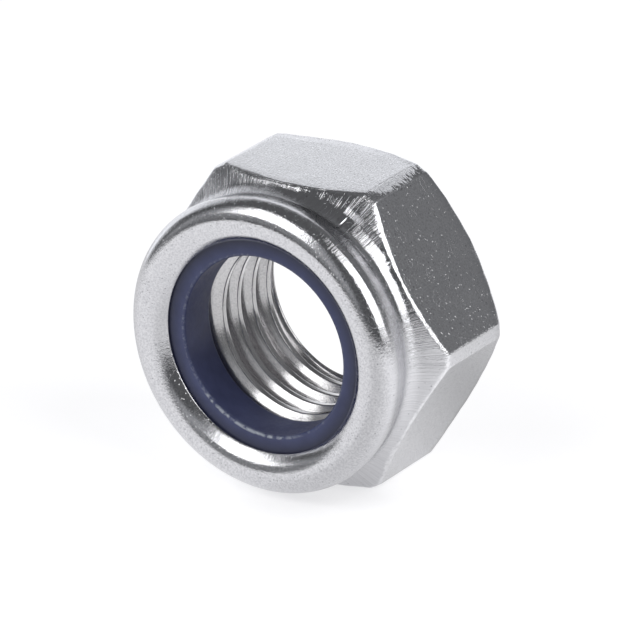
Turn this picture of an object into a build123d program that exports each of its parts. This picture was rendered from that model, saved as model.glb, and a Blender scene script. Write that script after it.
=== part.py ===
from build123d import *
from build123d.topology import SkipClean
from math import ceil, cos, radians, sin, tan
import os

os.makedirs("parts", exist_ok=True)

# A prevailing torque lock nut that lies on one of its flats, thread axis level along Y
# The origin is on the thread axis, in the plane of the bearing face, and the collar points to -Y
# Sizes are in millimetres, and heights are measured from the bearing face towards the collar

# Hexagon
across_flats = 30.0
corner_diameter = 33.9
chamfer_angle = 36.0
bearing_diameter = 27.7
corner_edge_end = 11.4

# Collar
nut_height = 18.7
shoulder_fillet_radius = 1.9
waist_taper = 13.0
collar_diameter = 29.4
shoulder_overhang = 0.6
collar_wall = 2.18
roll_radius = 1.9
roll_back_angle = 13.0
lip_reach = 1.92
lip_slope = 28.0
lip_nose_radius = 0.3

# Thread, coarse series, right hand
thread_diameter = 20.0
thread_pitch = 2.5
thread_start_height = 0.3
bearing_countersink_angle = 90.0
bearing_countersink_reach = 0.8
inner_countersink_angle = 120.0
inner_countersink_reach = 0.2
groove_reach = 0.4
bore_seam_angle = 33.0

# Nylon ring and its seat
seat_height = 12.8
insert_face_width = 1.65
insert_bend_radius = 0.8
insert_front_fall = 0.06
insert_edge_radius = 0.25
insert_foot_chamfer = 0.3
insert_clearance = 0.02

# Sizes that follow from the ones above
apothem = across_flats / 2
corner_radius = corner_diameter / 2
chamfer_rise = tan(radians(chamfer_angle))
bearing_chamfer_height = (corner_radius - bearing_diameter / 2) * chamfer_rise
shoulder_radius = (collar_diameter + shoulder_overhang) / 2
shoulder_height = corner_edge_end + (corner_radius - shoulder_radius) * chamfer_rise
roll_center_radius = collar_diameter / 2 - roll_radius
roll_center_height = nut_height - roll_radius
seat_radius = collar_diameter / 2 - collar_wall
lip_radius = seat_radius - lip_reach
nose_center_radius = lip_radius + lip_nose_radius
roll_to_nose = roll_center_radius - nose_center_radius
nose_center_height = (
    roll_center_height
    + (roll_radius - lip_nose_radius) / cos(radians(lip_slope))
    - roll_to_nose * tan(radians(lip_slope))
)
lip_underside = nose_center_height - lip_nose_radius
minor_radius = (thread_diameter - 2 * 0.541266 * thread_pitch) / 2
major_radius = thread_diameter / 2
groove_root_width = thread_pitch / 8
groove_depth = major_radius - minor_radius + groove_reach
groove_mouth_width = groove_root_width + 2 * groove_depth * tan(radians(30))
bearing_countersink_radius = major_radius + bearing_countersink_reach
bearing_countersink_rise = 1 / tan(radians(bearing_countersink_angle / 2))
bearing_countersink_depth = (bearing_countersink_radius - minor_radius) * bearing_countersink_rise
inner_countersink_radius = major_radius + inner_countersink_reach
inner_countersink_rise = 1 / tan(radians(inner_countersink_angle / 2))
inner_countersink_depth = (inner_countersink_radius - minor_radius) * inner_countersink_rise
insert_radius = seat_radius - insert_clearance
insert_bore_radius = lip_radius - insert_face_width
insert_top = lip_underside - insert_clearance


def at(radius, height):
    """A point of a turned profile, drawn in the XY plane beside the thread axis."""
    return (radius, -height)


# The plane of the bearing face, seen from the collar side, with a flat of the hexagon on top
bearing_plane = Plane(origin=(0, 0, 0), x_dir=(1, 0, 0), z_dir=(0, -1, 0))

# Nut body: hexagon, waist, rolled collar and threaded bore, cold formed from one blank
with BuildPart() as nut_body:
    with BuildSketch(Plane.XY):
        with BuildLine():
            Polyline(
                at(0, seat_height),
                at(0, 0),
                at(bearing_diameter / 2, 0),
                at(corner_radius, bearing_chamfer_height),
                at(corner_radius, corner_edge_end),
                at(shoulder_radius, shoulder_height),
            )
            fillet_turn = 90 - chamfer_angle + waist_taper
            waist = JernArc(
                start=at(shoulder_radius, shoulder_height),
                tangent=(-cos(radians(chamfer_angle)), -sin(radians(chamfer_angle))),
                radius=shoulder_fillet_radius,
                arc_size=fillet_turn,
            )
            roll = CenterArc(
                center=at(roll_center_radius, roll_center_height),
                radius=roll_radius,
                start_angle=roll_back_angle,
                arc_size=-(roll_back_angle + 90 + lip_slope),
            )
            Line(waist @ 1, roll @ 0)
            nose = CenterArc(
                center=at(nose_center_radius, nose_center_height),
                radius=lip_nose_radius,
                start_angle=-90 - lip_slope,
                arc_size=lip_slope - 180,
            )
            Line(roll @ 1, nose @ 0)
            bend_radius = insert_bend_radius + insert_clearance
            bend_center = at(seat_radius - bend_radius, lip_underside - bend_radius)
            bend = CenterArc(bend_center, bend_radius, -90, 90)
            Line(nose @ 1, bend @ 0)
            Polyline(bend @ 1, at(seat_radius, seat_height), at(0, seat_height))
        make_face()
    revolve(axis=Axis.Y)

    # The six flats cut the turned shape; the prism ends past the collar, clear of the roll
    with BuildSketch(bearing_plane):
        RegularPolygon(radius=apothem, side_count=6, major_radius=False, rotation=0)
    extrude(amount=2 * nut_height, mode=Mode.INTERSECT)

    # The bore is cut in four quarters whose seams are kept, so that each thread crest face is short
    with SkipClean():
        for quarter in range(4):
            with BuildSketch(Plane.XY.rotated((0, bore_seam_angle + 90 * quarter, 0))):
                with BuildLine():
                    Polyline(
                        at(0, 0),
                        at(bearing_countersink_radius, 0),
                        at(minor_radius, bearing_countersink_depth),
                        at(minor_radius, seat_height - inner_countersink_depth),
                        at(inner_countersink_radius, seat_height),
                        at(0, seat_height),
                        close=True,
                    )
                make_face()
            revolve(axis=Axis.Y, revolution_arc=90, mode=Mode.SUBTRACT, clean=False)

        # Thread groove: a 60 degree form swept along a right hand helix, out through both countersinks
        groove_turns = ceil(seat_height / thread_pitch) + 2
        for turn in range(groove_turns):
            with BuildLine():
                groove_path = Helix(
                    pitch=thread_pitch,
                    height=thread_pitch,
                    radius=minor_radius,
                    center=(0, (1 - turn) * thread_pitch - thread_start_height, 0),
                    direction=(0, -1, 0),
                )
            groove_start = groove_path @ 0
            outward = Vector(groove_start.X, 0, groove_start.Z)
            with BuildSketch(Plane(origin=groove_start, x_dir=outward, z_dir=groove_path % 0)):
                with BuildLine():
                    Polyline(
                        (-groove_reach, groove_mouth_width / 2),
                        (major_radius - minor_radius, groove_root_width / 2),
                        (major_radius - minor_radius, -groove_root_width / 2),
                        (-groove_reach, -groove_mouth_width / 2),
                        close=True,
                    )
                make_face()
            sweep(path=groove_path, is_frenet=True, mode=Mode.SUBTRACT, clean=False)
nut_body.part.label = "nut_body"
export_step(nut_body.part, "parts/nut_body.step")

# Nylon ring, held between its seat and the rolled lip, with a plain bore that the bolt cuts into
with BuildPart() as nylon_insert:
    with BuildSketch(Plane.XY):
        with BuildLine():
            bend = CenterArc(
                at(insert_radius - insert_bend_radius, insert_top - insert_bend_radius),
                insert_bend_radius,
                0,
                -90,
            )
            Polyline(
                bend @ 1,
                at(nose_center_radius, insert_top),
                at(insert_bore_radius, insert_top - insert_front_fall),
                at(insert_bore_radius, seat_height + insert_foot_chamfer),
                at(insert_bore_radius + insert_foot_chamfer, seat_height),
                at(insert_radius, seat_height),
                bend @ 0,
            )
        make_face()
    revolve(axis=Axis.Y)
    front_edges = nylon_insert.edges().filter_by(GeomType.CIRCLE).sort_by(Axis.Y)
    bore_edges = [edge for edge in front_edges if abs(edge.radius - insert_bore_radius) < 0.01]
    fillet(bore_edges[0], radius=insert_edge_radius)
nylon_insert.part.label = "nylon_insert"
export_step(nylon_insert.part, "parts/nylon_insert.step")
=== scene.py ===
import math

import bpy
import numpy as np
from mathutils import Matrix, Vector


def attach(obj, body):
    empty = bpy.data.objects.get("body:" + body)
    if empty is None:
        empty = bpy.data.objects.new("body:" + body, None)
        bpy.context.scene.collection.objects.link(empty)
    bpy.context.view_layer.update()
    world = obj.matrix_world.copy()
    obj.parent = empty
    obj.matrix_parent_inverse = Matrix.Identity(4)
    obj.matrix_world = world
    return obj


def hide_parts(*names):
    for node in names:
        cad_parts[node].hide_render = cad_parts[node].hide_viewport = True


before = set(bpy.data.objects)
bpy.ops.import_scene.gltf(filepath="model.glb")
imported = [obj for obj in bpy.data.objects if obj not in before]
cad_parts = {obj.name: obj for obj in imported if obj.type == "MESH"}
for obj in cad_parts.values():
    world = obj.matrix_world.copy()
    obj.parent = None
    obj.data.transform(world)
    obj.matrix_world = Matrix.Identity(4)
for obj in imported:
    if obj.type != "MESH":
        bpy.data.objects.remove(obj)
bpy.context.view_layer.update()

MM = 0.001
WELD_STEPS_PER_MM = 20000

# Sizes of the nut in millimetres; heights run from the bearing face towards the collar
APOTHEM = 15.0
CORNER_R = 16.95
CORNER_ANGLE = 27.75  # from the middle of a flat to where it meets the corner's cylinder
CHAMFER_ANGLE = 36
CHAMFER_RISE = math.tan(math.radians(CHAMFER_ANGLE))
BEARING_R = 13.85
CORNER_END_H = 11.4
SHOULDER_R = 15.0
SHOULDER_H = CORNER_END_H + (CORNER_R - SHOULDER_R) * CHAMFER_RISE
FILLET_R = 1.9
WAIST_TAPER = 13
ROLL_R = 1.9
ROLL_C = (12.8, 16.8)
SEAT_R = 12.52
SEAT_H = 12.8
SEAT_BEND_R = 0.82

# The lip starts behind the crest of the roll, bends down in two curves and ends in a small nose
ROLL_END = -100
LIP_START = (12.33, 18.646)
LIP_START_PULL = (12.006, 18.589)
LIP_KNEE = (11.7, 18.453)
LIP_END_PULL = (11.135, 18.202)
LIP_UNDERSIDE = 17.302
NOSE_R = 0.16
NOSE_C = (10.76, LIP_UNDERSIDE + NOSE_R)
NOSE_START = -142
NOSE_END = -270

# Thread and its countersinks, which lose that much radius with each millimetre of depth
MINOR_R = 8.647
MAJOR_R = 10.0
ROOT_R = MAJOR_R + 0.01
PITCH = 2.5
THREAD_START = math.radians(226.8)
SINK_FRONT_R = 10.2
SINK_FRONT_LOSS = math.tan(math.radians(60))
SINK_BACK_R = 10.8
SINK_BACK_LOSS = 1.0

# Nylon ring
RING_R = 12.5
RING_BEND_R = 0.8
RING_TOP = LIP_UNDERSIDE - 0.02
RING_FALL_R = 10.9  # inside this radius the front face falls towards the bore
RING_FALL = 0.052
RING_BORE_R = 8.95
RING_EDGE_R = 0.25
RING_FOOT = 0.3

# Widths over which edges of the steel are softened
CORNER_SOFT = 0.012
RIM_SOFT = 0.12
THREAD_SOFT = 0.035

# Widths over which the wear and its painted highlight fade: rows of the mesh at the rims of the flats, degrees
# beside the corners
BACK_WEAR_ROWS = 2.5
FRONT_WEAR_ROWS = 4.0
CORNER_WEAR_DEG = 0.45
NO_WEAR = 9.0


def arc(center, radius, start, end, count):
    """Points (radius, height) on an arc of a profile, in degrees; the top of its circle is at -90."""
    turns = np.radians(np.linspace(start, end, count))
    return np.stack([center[0] + radius * np.cos(turns), center[1] - radius * np.sin(turns)], -1)


def line(a, b, count):
    """Points from a to b, both ends included."""
    t = np.linspace(0, 1, count)[:, None]
    return np.array(a) * (1 - t) + np.array(b) * t


def bezier(a, b, c, t):
    """The point at t on the way from a to c, pulled towards b."""
    return a * (1 - t) ** 2 + 2 * b * t * (1 - t) + c * t ** 2


def curve(a, b, c, count):
    """Points from a to c, both ends included, pulled towards b."""
    return bezier(np.array(a), np.array(b), np.array(c), np.linspace(0, 1, count)[:, None])


def soft_min(a, b, width):
    """The smaller of two values, rounded off where they meet."""
    return np.minimum(a, b) - width * np.log1p(np.exp(-np.abs(a - b) / width))


def place(r, h, angle):
    """Points in the frame of the part, whose thread axis is Y with the collar at -Y."""
    return np.stack([r * np.cos(angle), -h, r * np.sin(angle)], -1)


def grid_faces(index):
    """Faces of a grid of points whose columns close around the axis."""
    after = np.roll(index, -1, axis=1)
    return np.stack([index[:-1], index[1:], after[1:], after[:-1]], -1).reshape(-1, 4)


def mesh_object(name, points, faces, material):
    """A smooth object in metres from points in millimetres, doubled ones welded, and which were kept."""
    points = np.asarray(points, float)
    keys = np.round(points * WELD_STEPS_PER_MM).astype(np.int64)
    _, kept, where = np.unique(keys, axis=0, return_index=True, return_inverse=True)
    where = where.reshape(-1)
    cleaned = []
    for face in where[faces]:
        corners = [face[0]]
        for corner in face[1:]:
            if corner != corners[-1]:
                corners.append(corner)
        if corners[0] == corners[-1]:
            corners.pop()
        if len(set(corners)) >= 3:
            cleaned.append([int(c) for c in corners])
    mesh = bpy.data.meshes.new(name)
    mesh.from_pydata((points[kept] * MM).tolist(), [], cleaned)
    mesh.validate()
    mesh.update()
    mesh.polygons.foreach_set("use_smooth", [True] * len(mesh.polygons))
    mesh.materials.append(material)
    obj = bpy.data.objects.new(name, mesh)
    bpy.context.scene.collection.objects.link(obj)
    return obj, kept


# Angular columns of the nut body, finer where the flats meet the corners
beside_corner = (-1.45, -0.85, -0.45, -0.2, 0, 0.2, 0.5, 1.05, 1.65)
half = [*np.arange(0, 26.0, 1.5), *(CORNER_ANGLE + step for step in beside_corner)]
sector = sorted({round(sign * a, 3) for a in half for sign in (1, -1)} | {30.0})
angles = np.radians([30.0 + 60.0 * k + a for k in range(6) for a in sector])
angles = np.sort(np.mod(angles, 2 * np.pi))
COLS = len(angles)
phi = np.mod(angles, math.radians(60)) - math.radians(30)
side_r = soft_min(APOTHEM / np.cos(phi), np.full(COLS, CORNER_R), CORNER_SOFT)

# Cone and the outer part of the waist fillet, where the columns start at different heights
FILLET_START = 90 + CHAMFER_ANGLE
FILLET_SPLIT = 150
FILLET_END = 180 + WAIST_TAPER
fillet_c = (
    SHOULDER_R - FILLET_R * math.cos(math.radians(FILLET_START)),
    SHOULDER_H + FILLET_R * math.sin(math.radians(FILLET_START)),
)
cone = line((CORNER_R, CORNER_END_H), (SHOULDER_R, SHOULDER_H), 40)
cone = np.vstack([cone, arc(fillet_c, FILLET_R, FILLET_START, FILLET_SPLIT, 30)[1:]])
cone_lengths = np.r_[0, np.cumsum(np.hypot(*np.diff(cone, axis=0).T))]


def on_cone(length):
    """Points of the cone and fillet at those lengths along them."""
    return np.stack([np.interp(length, cone_lengths, cone[:, i]) for i in (0, 1)], -1)


# The rest of the profile is the same all around
fillet = arc(fillet_c, FILLET_R, FILLET_SPLIT, FILLET_END, 10)
nose = arc(NOSE_C, NOSE_R, NOSE_START, NOSE_END, 10)
lip = curve(LIP_KNEE, LIP_END_PULL, nose[0], 16)
roll = np.vstack([
    arc(ROLL_C, ROLL_R, WAIST_TAPER, ROLL_END, 26),
    curve(LIP_START, LIP_START_PULL, LIP_KNEE, 9),
    lip[1:-2],
])
seat_bend = arc((SEAT_R - SEAT_BEND_R, LIP_UNDERSIDE - SEAT_BEND_R), SEAT_BEND_R, -90, 0, 5)

rows = []


def add_fixed(points):
    for r, h in points:
        rows.append(np.stack([np.full(COLS, r), np.full(COLS, h)], -1))


def add_bezier(a, b, c, count):
    for t in np.linspace(0, 1, count):
        rows.append(bezier(a, b, c, t))


def add_line(a, b, count):
    for t in np.linspace(0, 1, count + 2)[1:-1]:
        rows.append(a * (1 - t) + b * t)


# Reach of the softened rims of the flats, uneven like a worn edge
soft = 0.33 + 0.09 * np.sin(7 * angles + 1) + 0.06 * np.sin(17 * angles + 2) + 0.05 * np.sin(43 * angles)
soft = soft[:, None]
soft_down = np.hstack([0 * soft, soft])

# Bearing face, its rim and the bearing chamfer
add_fixed([(SINK_BACK_R, 0), (10.9, 0), (11.3, 0), (12.2, 0), (13.2, 0)])
rim_start = len(rows)
rim = np.stack([np.full(COLS, BEARING_R), np.zeros(COLS)], -1)
chamfer_dir = np.array([math.cos(math.radians(CHAMFER_ANGLE)), math.sin(math.radians(CHAMFER_ANGLE))])
add_bezier(rim - np.array([RIM_SOFT, 0]), rim, rim + RIM_SOFT * chamfer_dir, 4)
chamfer_start = len(rows)
back_edge = np.stack([side_r, (side_r - BEARING_R) * CHAMFER_RISE], -1)
add_line(rim + RIM_SOFT * chamfer_dir, back_edge - soft * chamfer_dir, 4)

# Flats and corners between their two soft edges, then the cone
back_start = len(rows)
add_bezier(back_edge - soft * chamfer_dir, back_edge, back_edge + soft_down, 6)
flats_start = len(rows)
edge_length = np.interp(-side_r, -cone[:, 0], cone_lengths)
front_edge = np.stack([side_r, on_cone(edge_length)[:, 1]], -1)
add_line(back_edge + soft_down, front_edge - soft_down, 9)
front_start = len(rows)
after_length = edge_length + soft[:, 0]
add_bezier(front_edge - soft_down, front_edge, on_cone(after_length), 7)
cone_start = len(rows)
for t in np.linspace(0, 1, 12)[1:]:
    rows.append(on_cone(after_length * (1 - t) + cone_lengths[-1] * t))

# Waist, roll, lip, the hidden underside of the lip and the seat
add_fixed(fillet[1:])
add_fixed(line(fillet[-1], roll[0], 4)[1:-1])
add_fixed(roll)
add_fixed(line(roll[-1], nose[0], 3)[1:-1])
add_fixed(nose)
add_fixed(line(nose[-1], seat_bend[0], 4)[1:-1])
add_fixed(seat_bend)
add_fixed(line(seat_bend[-1], (SEAT_R, SEAT_H), 4)[1:])
add_fixed(line((SEAT_R, SEAT_H), (SINK_FRONT_R, SEAT_H), 5)[1:])
outer = np.array(rows)
OUTER_COUNT = len(outer) * COLS
outer_pts = place(outer[..., 0], outer[..., 1], angles[None, :]).reshape(-1, 3)
outer_faces = grid_faces(np.arange(OUTER_COUNT).reshape(-1, COLS))

# Thread, with rows that follow the helix; phases are fractions of the pitch from the groove's middle
half_phases = np.array([0.0, 0.035, 0.062, 0.09, 0.14, 0.22, 0.30, 0.355, 0.375, 0.4, 0.45])
phases = np.sort(np.mod(np.r_[half_phases, -half_phases[1:], 0.5], 1.0))


def thread_radius(phase):
    """Radius of the softened 60 degree thread form."""
    away = np.abs(np.mod(phase + 0.5, 1.0) - 0.5) * PITCH
    flank = MAJOR_R - (away - PITCH / 16) / math.tan(math.radians(30))
    above_crest = -soft_min(-flank, np.full_like(flank, -MINOR_R), THREAD_SOFT)
    return soft_min(above_crest, np.full_like(flank, ROOT_R), THREAD_SOFT)


turn_phases = (np.arange(-2, 8)[:, None] + phases[None, :]).reshape(-1)
wrapped = np.r_[angles, angles[0] + 2 * np.pi]
heights = PITCH * ((wrapped[None, :] - THREAD_START) / (2 * np.pi) + turn_phases[:, None])
inside = np.clip(heights, 0, SEAT_H)
radii = np.broadcast_to(thread_radius(turn_phases)[:, None], heights.shape)
radii = np.maximum(radii, SINK_BACK_R - inside * SINK_BACK_LOSS)
radii = np.maximum(radii, SINK_FRONT_R - (SEAT_H - inside) * SINK_FRONT_LOSS)
thread_pts = place(radii, inside, wrapped[None, :]).reshape(-1, 3)
t_index = np.arange(heights.size).reshape(heights.shape)
quads = np.stack([t_index[1:, :-1], t_index[:-1, :-1], t_index[:-1, 1:], t_index[1:, 1:]], -1).reshape(-1, 4)
quad_heights = heights.reshape(-1)[quads]
past_an_end = (quad_heights <= 0).all(1) | (quad_heights >= SEAT_H).all(1)
thread_faces = quads[~past_an_end] + OUTER_COUNT

body_pts = np.vstack([outer_pts, thread_pts])
body_faces = np.vstack([outer_faces, thread_faces])


class Tree:
    """Short calls for the nodes of one node tree; a value is a socket to link or a plain one to set."""

    def __init__(self, owner):
        owner.use_nodes = True
        self.tree = owner.node_tree
        self.tree.nodes.clear()

    def add(self, kind, **settings):
        node = self.tree.nodes.new(kind)
        for key, value in settings.items():
            setattr(node, key, value)
        return node

    def put(self, value, socket):
        if hasattr(value, "is_output"):
            self.tree.links.new(value, socket)
        else:
            socket.default_value = value

    def math(self, operation, *values):
        node = self.add("ShaderNodeMath", operation=operation)
        for slot, value in enumerate(values):
            self.put(value, node.inputs[slot])
        return node.outputs[0]

    def times(self, first, *others):
        for value in others:
            first = self.math("MULTIPLY", first, value)
        return first

    def plus(self, first, *others):
        for value in others:
            first = self.math("ADD", first, value)
        return first

    def minus(self, a, b):
        return self.math("SUBTRACT", a, b)

    def gap(self, a, b):
        return self.math("ABSOLUTE", self.minus(a, b))

    def remap(self, value, low, high, to_low=0.0, to_high=1.0):
        node = self.add("ShaderNodeMapRange")
        for slot, number in enumerate((value, low, high, to_low, to_high)):
            self.put(number, node.inputs[slot])
        return node.outputs[0]

    def coordinates(self, kind):
        return self.add("ShaderNodeTexCoord").outputs[kind]

    def split(self, vector):
        node = self.add("ShaderNodeSeparateXYZ")
        self.put(vector, node.inputs[0])
        return node.outputs[0], node.outputs[1], node.outputs[2]

    def combine(self, x, y, z):
        node = self.add("ShaderNodeCombineXYZ")
        for slot, value in enumerate((x, y, z)):
            self.put(value, node.inputs[slot])
        return node.outputs[0]

    def vector(self, operation, *values):
        """A vector, from up to three others."""
        node = self.add("ShaderNodeVectorMath", operation=operation)
        for slot, value in enumerate(values):
            self.put(value, node.inputs[slot])
        return node.outputs[0]

    def measure(self, operation, *values):
        """A number from vectors: a length or a dot product."""
        node = self.add("ShaderNodeVectorMath", operation=operation)
        for slot, value in enumerate(values):
            self.put(value, node.inputs[slot])
        return node.outputs[1]

    def stretched(self, vector, turn, scale):
        """Coordinates turned, and then scaled by a different number along each axis."""
        node = self.add("ShaderNodeMapping")
        self.put(vector, node.inputs["Vector"])
        node.inputs["Rotation"].default_value = turn
        node.inputs["Scale"].default_value = scale
        return node.outputs[0]

    def noise(self, vector, scale, detail, roughness):
        node = self.add("ShaderNodeTexNoise")
        self.put(vector, node.inputs["Vector"])
        node.inputs["Scale"].default_value = scale
        node.inputs["Detail"].default_value = detail
        node.inputs["Roughness"].default_value = roughness
        return node.outputs["Fac"]

    def cells(self, vector, scale):
        node = self.add("ShaderNodeTexVoronoi")
        self.put(vector, node.inputs["Vector"])
        node.inputs["Scale"].default_value = scale
        return node.outputs["Distance"], node.outputs["Color"]

    def blend(self, factor, under, over, **settings):
        """A colour between two others."""
        node = self.add("ShaderNodeMix", data_type="RGBA", **settings)
        self.put(factor, node.inputs["Factor"])
        self.put(under, node.inputs[6])
        self.put(over, node.inputs[7])
        return node.outputs[2]

    def bump(self, height, strength):
        node = self.add("ShaderNodeBump")
        node.inputs["Strength"].default_value = strength
        node.inputs["Distance"].default_value = BUMP_DISTANCE
        self.put(height, node.inputs["Height"])
        return node

    def either(self, factor, first, second):
        """The first shader where the factor is 0 and the second where it is 1."""
        node = self.add("ShaderNodeMixShader")
        for slot, value in enumerate((factor, first, second)):
            self.put(value, node.inputs[slot])
        return node.outputs[0]


# Colours, linear
STEEL_DULL = (0.58, 0.58, 0.605, 1)
STEEL_CLEAN = (0.76, 0.76, 0.78, 1)
STEEL_SPECK = (0.96, 0.96, 0.97, 1)
STEEL_PIT = (0.3, 0.3, 0.32, 1)
# Lighter steel at the edges with wear, partly a painted highlight
STEEL_WEAR_GLINT = (0.88, 0.88, 0.9, 1)
BORE_TINT = (0.89, 0.88, 0.865, 1)
NYLON_DARK = (0.042, 0.052, 0.136, 1)
NYLON_LIGHT = (0.057, 0.07, 0.173, 1)
# Painted shade of the nylon under the lip
NYLON_SHADED = (0.012, 0.014, 0.035, 1)
# Painted highlight on the rim of the nylon's bore
NYLON_GLINT = (0.5, 0.54, 0.6, 1)
PAPER_GLOW = (0.985, 0.985, 1.0, 1)
ROOM_AIR = (0.955, 0.97, 1.0, 1)
WHITE = (1, 1, 1, 1)

# The finish, in metres, and in millimetres where the name ends in _MM
BUMP_DISTANCE = 0.00004
RING_RIM = 0.0091
BORE_TO_OUTSIDE_MM = (10.45, 10.75)
STREAKS_FADE_MM = (18.0, 17.2)
BURR_MIDDLE_MM = 6.8
BURR_HALF_LENGTH_MM = 4.1
BURR_REACH_MM = 0.52
BURR_BOW_MM = 1.2
BURR_FRAY_MM = 3.6
SEAM_ACROSS_MM = -0.32
CORNER_DIRECTION = (0.5, 0.0, 0.8660254)  # from the axis to the corner with the burr and the seam mark


def new_finish(name):
    """A material with a Principled shader; also its tree and that shader."""
    material = bpy.data.materials.new(name)
    tree = Tree(material)
    shader = tree.add("ShaderNodeBsdfPrincipled")
    tree.put(shader.outputs[0], tree.add("ShaderNodeOutputMaterial").inputs[0])
    return material, tree, shader


def steel_material():
    """Bright cold formed steel; the mesh says where it is turned, and where its edges show wear with a painted
    highlight.
    """
    material, tree, shader = new_finish("nut_steel_finish")
    shader.inputs["Metallic"].default_value = 1.0
    coords = tree.coordinates("Object")
    x, y, z = tree.split(coords)
    radial = tree.combine(x, 0.0, z)
    unit = tree.vector("NORMALIZE", radial)
    radius = tree.measure("LENGTH", radial)
    radius_mm = tree.times(radius, 1 / MM)
    height_mm = tree.times(y, -1 / MM)
    turned = tree.add("ShaderNodeAttribute", attribute_name="turned").outputs["Fac"]
    edge = tree.add("ShaderNodeAttribute", attribute_name="edge").outputs["Fac"]
    outside = tree.remap(radius_mm, *BORE_TO_OUTSIDE_MM)

    # Forming streaks that run out from the axis over the roll, the waist and the cone
    along = tree.times(tree.minus(radius, y), 3.5)
    streak_at = tree.vector("ADD", unit, tree.combine(0.0, along, 0.0))
    fine = tree.noise(streak_at, 125.0, 3.0, 0.7)
    broad = tree.noise(streak_at, 24.0, 2.0, 0.5)
    calm = tree.remap(tree.noise(coords, 260.0, 2.0, 0.5), 0.35, 0.65, 0.35, 1.0)
    streaky = tree.times(turned, tree.times(tree.remap(height_mm, *STREAKS_FADE_MM, 0.22, 1.0), outside))
    streaks = tree.times(tree.plus(tree.times(fine, 2.3), tree.times(broad, 1.2)), calm, streaky)

    # Fine grain, pits and a few scratches, weaker in the bore
    grain = tree.noise(coords, 5600.0, 2.0, 0.6)
    grainy = tree.minus(1.0, streaky)
    grit = tree.times(tree.minus(grainy, tree.times(turned, 0.55)), 0.7)
    grit = tree.plus(tree.math("MAXIMUM", grit, 0.0), 0.5)
    grit = tree.times(grain, tree.times(grit, tree.remap(outside, 0, 1, 0.12, 1)))
    pit = tree.remap(tree.cells(coords, 2300.0)[0], 0.05, 0.17, -0.8, 0.0)
    scratch_at = tree.stretched(coords, (0.5, 0.9, 0.3), (60.0, 900.0, 700.0))
    scratch = tree.remap(tree.gap(tree.noise(scratch_at, 1.0, 0.0, 0.4), 0.72), 0.0, 0.004, -0.15, 0.0)
    marks = tree.times(tree.plus(pit, scratch), tree.remap(outside, 0, 1, 0.15, 1))

    # Turning rings in the bore
    ring_at = tree.vector("MULTIPLY_ADD", unit, (0.0006, 0.0, 0.0006), coords)
    ring_at = tree.stretched(ring_at, (0.0, 0.0, 0.0), (60.0, 3600.0, 60.0))
    rings = tree.times(tree.noise(ring_at, 1.0, 3.0, 0.6), 0.9, tree.minus(1.0, outside))

    # Edges with wear: a bright ragged strip of bumps, also lightened in colour as a painted highlight
    wear_and_glint = tree.times(edge, tree.noise(coords, 2300.0, 3.0, 0.7))

    # Burr of the upper flat, drawn over the corner at 60 degrees; across is the way past it in millimetres
    across = tree.minus(tree.times(x, 0.866 / MM), tree.times(z, 0.5 / MM))
    bow = tree.math("DIVIDE", tree.minus(height_mm, BURR_MIDDLE_MM), BURR_HALF_LENGTH_MM)
    reach = tree.minus(BURR_REACH_MM, tree.times(tree.math("POWER", bow, 2.0), BURR_BOW_MM))
    fray_at = tree.stretched(coords, (0.0, math.radians(30), 0.35), (900.0, 4200.0, 900.0))
    fray = tree.times(tree.minus(tree.noise(fray_at, 1.0, 3.0, 0.6), 0.5), BURR_FRAY_MM)
    over = tree.remap(tree.minus(tree.plus(reach, fray), across), -0.04, 0.06)
    near = tree.remap(across, -0.95, -0.75)
    top = tree.remap(z, 0.0136, 0.0139)
    drawn = tree.times(over, tree.times(near, top))

    # The cone beside that corner is drawn steeper, with a short seam mark across the waist
    facing = tree.measure("DOT_PRODUCT", unit, CORNER_DIRECTION)
    around = tree.times(tree.remap(facing, 0.915, 0.95), tree.remap(height_mm, 14.0, 13.2))
    band = tree.remap(tree.gap(radius_mm, 15.15), 0.1, 0.4)
    band = tree.math("MAXIMUM", band, tree.remap(across, -2.6, 0.2, 0.9, 0.25))
    steeper = tree.times(around, band, turned, tree.remap(fine, 0.36, 0.64, 0.1, 0.95))
    seam = tree.remap(tree.gap(across, SEAM_ACROSS_MM), 0.05, 0.16, -3.0, 0.0)
    seam_ends = tree.times(tree.remap(height_mm, 13.0, 13.2), tree.remap(height_mm, 14.5, 14.3))
    seam = tree.times(seam, tree.times(seam_ends, tree.remap(z, 0.009, 0.0095)))

    # Relief on a normal that leans out on the steeper cone and points up on the burr
    relief = tree.plus(grit, marks, rings, streaks, tree.times(wear_and_glint, 2.4), seam)
    normal = tree.add("ShaderNodeNewGeometry").outputs["Normal"]
    aside = tree.add("ShaderNodeVectorMath", operation="SCALE")
    tree.put(unit, aside.inputs[0])
    tree.put(steeper, aside.inputs["Scale"])
    lean = tree.add("ShaderNodeMix", data_type="VECTOR")
    tree.put(drawn, lean.inputs["Factor"])
    tree.put(tree.vector("ADD", normal, aside.outputs[0]), lean.inputs[4])
    lean.inputs[5].default_value = (0.0, 0.0, 1.0)
    bump = tree.bump(relief, 0.55)
    tree.put(tree.vector("NORMALIZE", lean.outputs[1]), bump.inputs["Normal"])
    tree.put(bump.outputs[0], shader.inputs["Normal"])
    blotch = tree.noise(coords, 420.0, 3.0, 0.55)
    roughness = tree.remap(blotch, 0.3, 0.7, 0.08, 0.14)
    roughness = tree.plus(roughness, tree.times(tree.minus(1.0, turned), 0.08))
    tree.put(roughness, shader.inputs["Roughness"])
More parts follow.
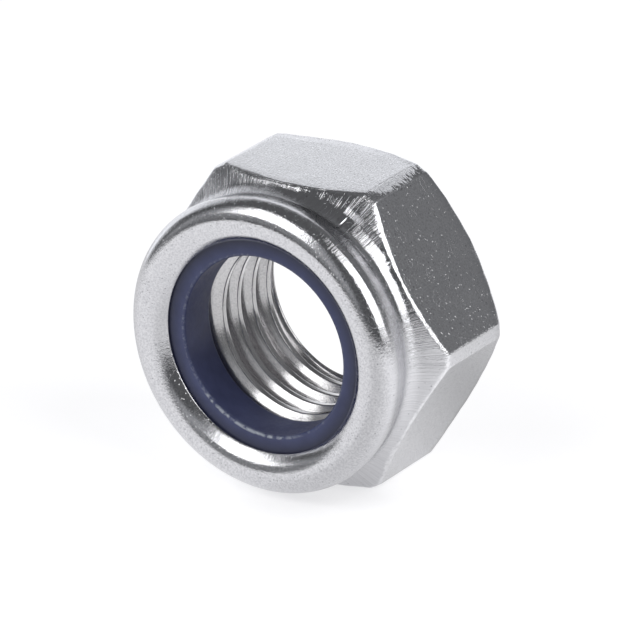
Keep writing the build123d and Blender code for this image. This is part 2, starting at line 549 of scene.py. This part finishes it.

    # Colour: streaks and grain, light specks on the flats, dark pits, edges with wear lightened as a painted
    # highlight, and a duller bore
    streak_tone = tree.times(tree.remap(fine, 0.2, 0.8), streaky)
    grain_tone = tree.times(tree.remap(grain, 0.36, 0.62), grainy)
    tone = tree.plus(streak_tone, grain_tone, tree.remap(turned, 0.0, 1.0, 0.35, 0.0))
    colour = tree.blend(tone, STEEL_DULL, STEEL_CLEAN)
    cell_distance, cell_colour = tree.cells(coords, 3100.0)
    speck = tree.remap(cell_distance, 0.14, 0.3, 1.0, 0.0)
    chosen = tree.add("ShaderNodeSeparateColor")
    tree.put(cell_colour, chosen.inputs[0])
    flat_share = tree.minus(1.0, tree.times(turned, 0.7))
    light = tree.times(speck, tree.times(tree.remap(chosen.outputs[0], 0.8, 0.86), flat_share))
    dark = tree.times(speck, tree.times(tree.remap(chosen.outputs[1], 0.9, 0.94), outside))
    colour = tree.blend(tree.times(light, 0.9), colour, STEEL_SPECK)
    colour = tree.blend(tree.times(dark, 0.8), colour, STEEL_PIT)
    # Painted highlight: the edges with wear get a lighter colour, on top of their bumps
    colour = tree.blend(tree.remap(wear_and_glint, 0.3, 0.6), colour, STEEL_WEAR_GLINT)
    colour = tree.blend(tree.minus(1.0, outside), colour, BORE_TINT, blend_type="MULTIPLY")
    tree.put(colour, shader.inputs["Base Color"])
    return material


def nylon_material():
    """Satin blue nylon with painted shade under the lip, and a painted highlight: a broken pale line on the rim
    around its bore, palest at the bottom.
    """
    material, tree, shader = new_finish("nylon_finish")
    coords = tree.coordinates("Object")
    x, y, z = tree.split(coords)
    radius = tree.measure("LENGTH", tree.combine(x, z, 0.0))
    cloud = tree.noise(coords, 500.0, 2.0, 0.5)
    colour = tree.blend(tree.remap(cloud, 0.3, 0.7), NYLON_DARK, NYLON_LIGHT)
    # Painted shade: the front face of the nylon darkens towards the lip
    front = tree.remap(y, -0.0168, -0.0173)
    shade = tree.times(tree.remap(radius, 0.0094, 0.0106), front, 0.85)
    colour = tree.blend(shade, colour, NYLON_SHADED)
    # Painted highlight: a broken pale line on the front edge of the bore, strongest on the lower side
    rim = tree.remap(tree.gap(radius, RING_RIM), 0.00022, 0.00005)
    glint_side = tree.remap(tree.minus(tree.times(x, -0.26), z), 0.0072, 0.0084)
    glint_flecks = tree.remap(tree.noise(coords, 1500.0, 3.0, 0.6), 0.42, 0.55)
    dots = tree.remap(tree.noise(coords, 3400.0, 2.0, 0.6), 0.5, 0.66, 0.05, 0.33)
    glint_flecks = tree.times(tree.plus(tree.times(glint_side, glint_flecks), dots), 0.9)
    colour = tree.blend(tree.times(rim, front, glint_flecks), colour, NYLON_GLINT)
    tree.put(colour, shader.inputs["Base Color"])
    grain = tree.noise(coords, 2600.0, 3.0, 0.6)
    tree.put(tree.remap(grain, 0.3, 0.7, 0.32, 0.46), shader.inputs["Roughness"])
    tree.put(tree.bump(grain, 0.3).outputs[0], shader.inputs["Normal"])
    return material


body, kept = mesh_object("nut_steel", body_pts, body_faces, steel_material())

# The flats end a little way into their soft front edge
is_outer = kept < OUTER_COUNT
row_of = np.where(is_outer, kept // COLS, 0)
flat_rows = (row_of >= flats_start) & (row_of <= front_start + 2) & is_outer
turned = np.ones(len(kept))
turned[flat_rows | (row_of < rim_start)] = 0.0

# Weight of the edges with wear and a painted highlight, from the middle of the bearing chamfer on: the rims of
# the flats and the corners
back_away = np.abs(row_of - (back_start + flats_start - 1) / 2) / BACK_WEAR_ROWS
front_away = np.abs(row_of - (front_start + cone_start - 1) / 2) / FRONT_WEAR_ROWS
phi_kept = np.where(is_outer, np.degrees(phi)[kept % COLS], 0.0)
corner_away = np.where(flat_rows, np.abs(np.abs(phi_kept) - CORNER_ANGLE) / CORNER_WEAR_DEG, NO_WEAR)
away = np.minimum(np.minimum(back_away, front_away), corner_away)
near_edge = np.exp(-away ** 2) * is_outer * (row_of >= chamfer_start + 2)
for label, values in (("turned", turned), ("edge", near_edge)):
    attribute = body.data.attributes.new(label, "FLOAT", "POINT")
    attribute.data.foreach_set("value", values.astype(np.float32))

edge_h = RING_TOP - RING_FALL
ring_profile = np.vstack([
    line((RING_R, SEAT_H), (RING_R, RING_TOP - RING_BEND_R), 8),
    arc((RING_R - RING_BEND_R, RING_TOP - RING_BEND_R), RING_BEND_R, 0, -90, 8)[1:],
    line((RING_R - RING_BEND_R, RING_TOP), (RING_FALL_R, RING_TOP), 5)[1:],
    line((RING_FALL_R, RING_TOP), (RING_BORE_R + RING_EDGE_R, edge_h), 12)[1:],
    arc((RING_BORE_R + RING_EDGE_R, edge_h - RING_EDGE_R), RING_EDGE_R, -90, -180, 12)[1:],
    line((RING_BORE_R, edge_h - RING_EDGE_R), (RING_BORE_R, SEAT_H + RING_FOOT), 24)[1:],
    line((RING_BORE_R, SEAT_H + RING_FOOT), (RING_BORE_R + RING_FOOT, SEAT_H), 4)[1:],
    line((RING_BORE_R + RING_FOOT, SEAT_H), (RING_R, SEAT_H), 6)[1:],
])
ring_angles = np.radians(np.arange(0, 360, 1.25))[None, :]
ring_pts = place(ring_profile[:, :1], ring_profile[:, 1:] + 0 * ring_angles, ring_angles)
ring_faces = grid_faces(np.arange(ring_pts.size // 3).reshape(ring_pts.shape[:2]))
ring, _ = mesh_object("nylon_ring", ring_pts.reshape(-1, 3), ring_faces, nylon_material())

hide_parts("nut_body")
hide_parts("nylon_insert")
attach(body, "root")
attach(ring, "root")

# Floor, a round sheet of paper, in metres, with a spot of painted shade for reflections and a contact shadow
# that is partly painted
FLOOR_C = (0.06, 0.05)
FLOOR_R = 0.23
DIM_SPOT = (0.012, 0.003)
SHADOW_SPOT = (0.004, -0.014)
floor_mesh = bpy.data.meshes.new("floor")
around_floor = np.linspace(0, 2 * math.pi, 65)[:-1]
floor_pts = [(FLOOR_C[0] + FLOOR_R * math.cos(a), FLOOR_C[1] + FLOOR_R * math.sin(a), -APOTHEM * MM)
             for a in around_floor]
floor_mesh.from_pydata(floor_pts, [], [list(range(len(floor_pts)))])
floor = bpy.data.objects.new("floor", floor_mesh)
bpy.context.scene.collection.objects.link(floor)
floor_material = bpy.data.materials.new("floor_paper")
floor_mesh.materials.append(floor_material)
paper_tree = Tree(floor_material)
floor_x, floor_y, _ = paper_tree.split(paper_tree.coordinates("Object"))


def paper(level, glow):
    """Diffuse paper of that level with that much glow of its own."""
    diffuse = paper_tree.add("ShaderNodeBsdfDiffuse")
    diffuse.inputs[0].default_value = (level, level, level, 1)
    shine = paper_tree.add("ShaderNodeEmission")
    shine.inputs[0].default_value = PAPER_GLOW
    paper_tree.put(glow, shine.inputs[1])
    both = paper_tree.add("ShaderNodeAddShader")
    paper_tree.put(diffuse.outputs[0], both.inputs[0])
    paper_tree.put(shine.outputs[0], both.inputs[1])
    return both.outputs[0]


def away_from(x, y):
    """Distance on the floor from a point, in metres."""
    off_x, off_y = paper_tree.minus(floor_x, x), paper_tree.minus(floor_y, y)
    squares = paper_tree.plus(paper_tree.times(off_x, off_x), paper_tree.times(off_y, off_y))
    return paper_tree.math("SQRT", squares)


# Reflections see the paper glow unevenly around the nut, as painted light and shade, and the camera sees a
# contact shadow, partly real and partly painted by less glow
toward = paper_tree.math("ARCTAN2", floor_x, floor_y)
wave = paper_tree.times(paper_tree.minus(toward, math.radians(97)), 3.0)
ripple = paper_tree.times(paper_tree.math("COSINE", wave), 0.17)
left_part = paper_tree.remap(toward, math.radians(-60), math.radians(-130), 1.0, 0.35)
glow = paper_tree.plus(paper_tree.times(ripple, left_part), 0.64)
# Painted shade: the glow that reflections see dims near the nut
glow = paper_tree.times(glow, paper_tree.remap(away_from(*DIM_SPOT), 0.005, 0.017, 0.55, 1.0))
plain = paper(0.8, 0.0)
mirrored = paper(0.42, glow)
# Painted shadow: near the contact the paper glows less, on top of its real shadow
seen = paper(0.45, paper_tree.remap(away_from(*SHADOW_SPOT), 0.003, 0.0095, 0.6, 0.77))
rays = paper_tree.add("ShaderNodeLightPath").outputs
surface = paper_tree.either(rays["Is Glossy Ray"], plain, mirrored)
surface = paper_tree.either(rays["Is Camera Ray"], surface, seen)
paper_tree.put(surface, paper_tree.add("ShaderNodeOutputMaterial").inputs[0])

# Room around the two soft boxes: dim, with paler panels on its walls, and white for the camera
world = bpy.data.worlds.new("studio")
bpy.context.scene.world = world
air = Tree(world)
east, north, upward = air.split(air.coordinates("Generated"))
bearing = air.times(air.math("ARCTAN2", east, north), 180 / math.pi)
rise = air.times(air.math("ARCSINE", upward), 180 / math.pi)


def panel(middle, width, low, high, strength, blur):
    """A soft-edged panel on the walls, in degrees: bearing of its middle and width, rise from low to high."""
    away = air.math("ABSOLUTE", air.math("WRAP", air.minus(bearing, middle), 180.0, -180.0))
    across = air.remap(away, width / 2 + blur, width / 2 - blur)
    bottom = air.remap(rise, low - blur, low + blur)
    top = air.remap(rise, high + blur, high - blur)
    return air.times(across, air.times(bottom, top), strength)


ROOM_LEVEL = 0.12
level = air.plus(
    panel(-46, 78, -30, 28, 1.0, 5.0),
    panel(-88, 20, -30, 8, 0.5, 4.0),
    panel(-62, 34, 28, 33, 0.45, 4.0),
    panel(-157, 50, -2, 24, 0.15, 4.0),
    panel(-120, 16, -5, 50, 0.25, 5.0),
    panel(172, 20, 2, 58, 0.3, 7.0),
    panel(30, 40, -12, 60, 0.08, 8.0),
    ROOM_LEVEL,
)
room = air.add("ShaderNodeBackground")
room.inputs[0].default_value = ROOM_AIR
air.put(level, room.inputs[1])
white = air.add("ShaderNodeBackground")
white.inputs[0].default_value = WHITE
white.inputs[1].default_value = 1.0
to_camera = air.add("ShaderNodeLightPath").outputs["Is Camera Ray"]
sky = air.either(to_camera, room.outputs[0], white.outputs[0])
air.put(sky, air.add("ShaderNodeOutputWorld").inputs[0])

BOX_DISTANCE = 0.9


def softbox(name, azimuth, rise, wide, tall, radiance):
    """An area lamp that faces the nut and covers that many degrees; azimuth 0 is +Y and 90 is +X."""
    data = bpy.data.lights.new(name, "AREA")
    data.shape = "RECTANGLE"
    data.size = 2 * BOX_DISTANCE * math.tan(math.radians(wide / 2))
    data.size_y = 2 * BOX_DISTANCE * math.tan(math.radians(tall / 2))
    data.energy = radiance * math.pi * data.size * data.size_y
    lamp = bpy.data.objects.new(name, data)
    a, e = math.radians(azimuth), math.radians(rise)
    stand = Vector((math.sin(a) * math.cos(e), math.cos(a) * math.cos(e), math.sin(e))) * BOX_DISTANCE
    lamp.location = stand
    lamp.rotation_euler = (-stand).to_track_quat("-Z", "Y").to_euler()
    lamp.visible_camera = False
    bpy.context.scene.collection.objects.link(lamp)


softbox("right_box", 89.5, 33.5, 43, 47, 2.6)
softbox("left_box", -153, 44, 37, 41, 2.4)

# Camera, fitted to the photograph; azimuth 0 looks along +Y
CAMERA_ANGLES = (34.17, 22.73, -1.337)
CAMERA_DISTANCE = 0.6
CAMERA_SHIFT = (0.002214, 0.000614)
FOCAL_PIXELS = 6357.0
IMAGE_PIXELS = 640.0
SENSOR_MM = 36.0
TARGET = Vector((0, -0.01152, 0))
azimuth, elevation, tilt = (math.radians(v) for v in CAMERA_ANGLES)
back = Vector((
    math.sin(azimuth) * math.cos(elevation),
    -math.cos(azimuth) * math.cos(elevation),
    math.sin(elevation),
))
right = (-back).cross(Vector((0, 0, 1))).normalized()
up = right.cross(-back)
camera_right = right * math.cos(tilt) + up * math.sin(tilt)
camera_up = -right * math.sin(tilt) + up * math.cos(tilt)
camera_data = bpy.data.cameras.new("camera")
camera_data.sensor_width = SENSOR_MM
camera_data.lens = FOCAL_PIXELS / IMAGE_PIXELS * SENSOR_MM
camera_data.clip_start = 0.01
camera = bpy.data.objects.new("camera", camera_data)
bpy.context.scene.collection.objects.link(camera)
camera.matrix_world = Matrix((camera_right, camera_up, back)).transposed().to_4x4()
camera.location = TARGET + back * CAMERA_DISTANCE + camera_right * CAMERA_SHIFT[0] + camera_up * CAMERA_SHIFT[1]
bpy.context.scene.camera = camera
bpy.context.scene.view_settings.view_transform = "Standard"
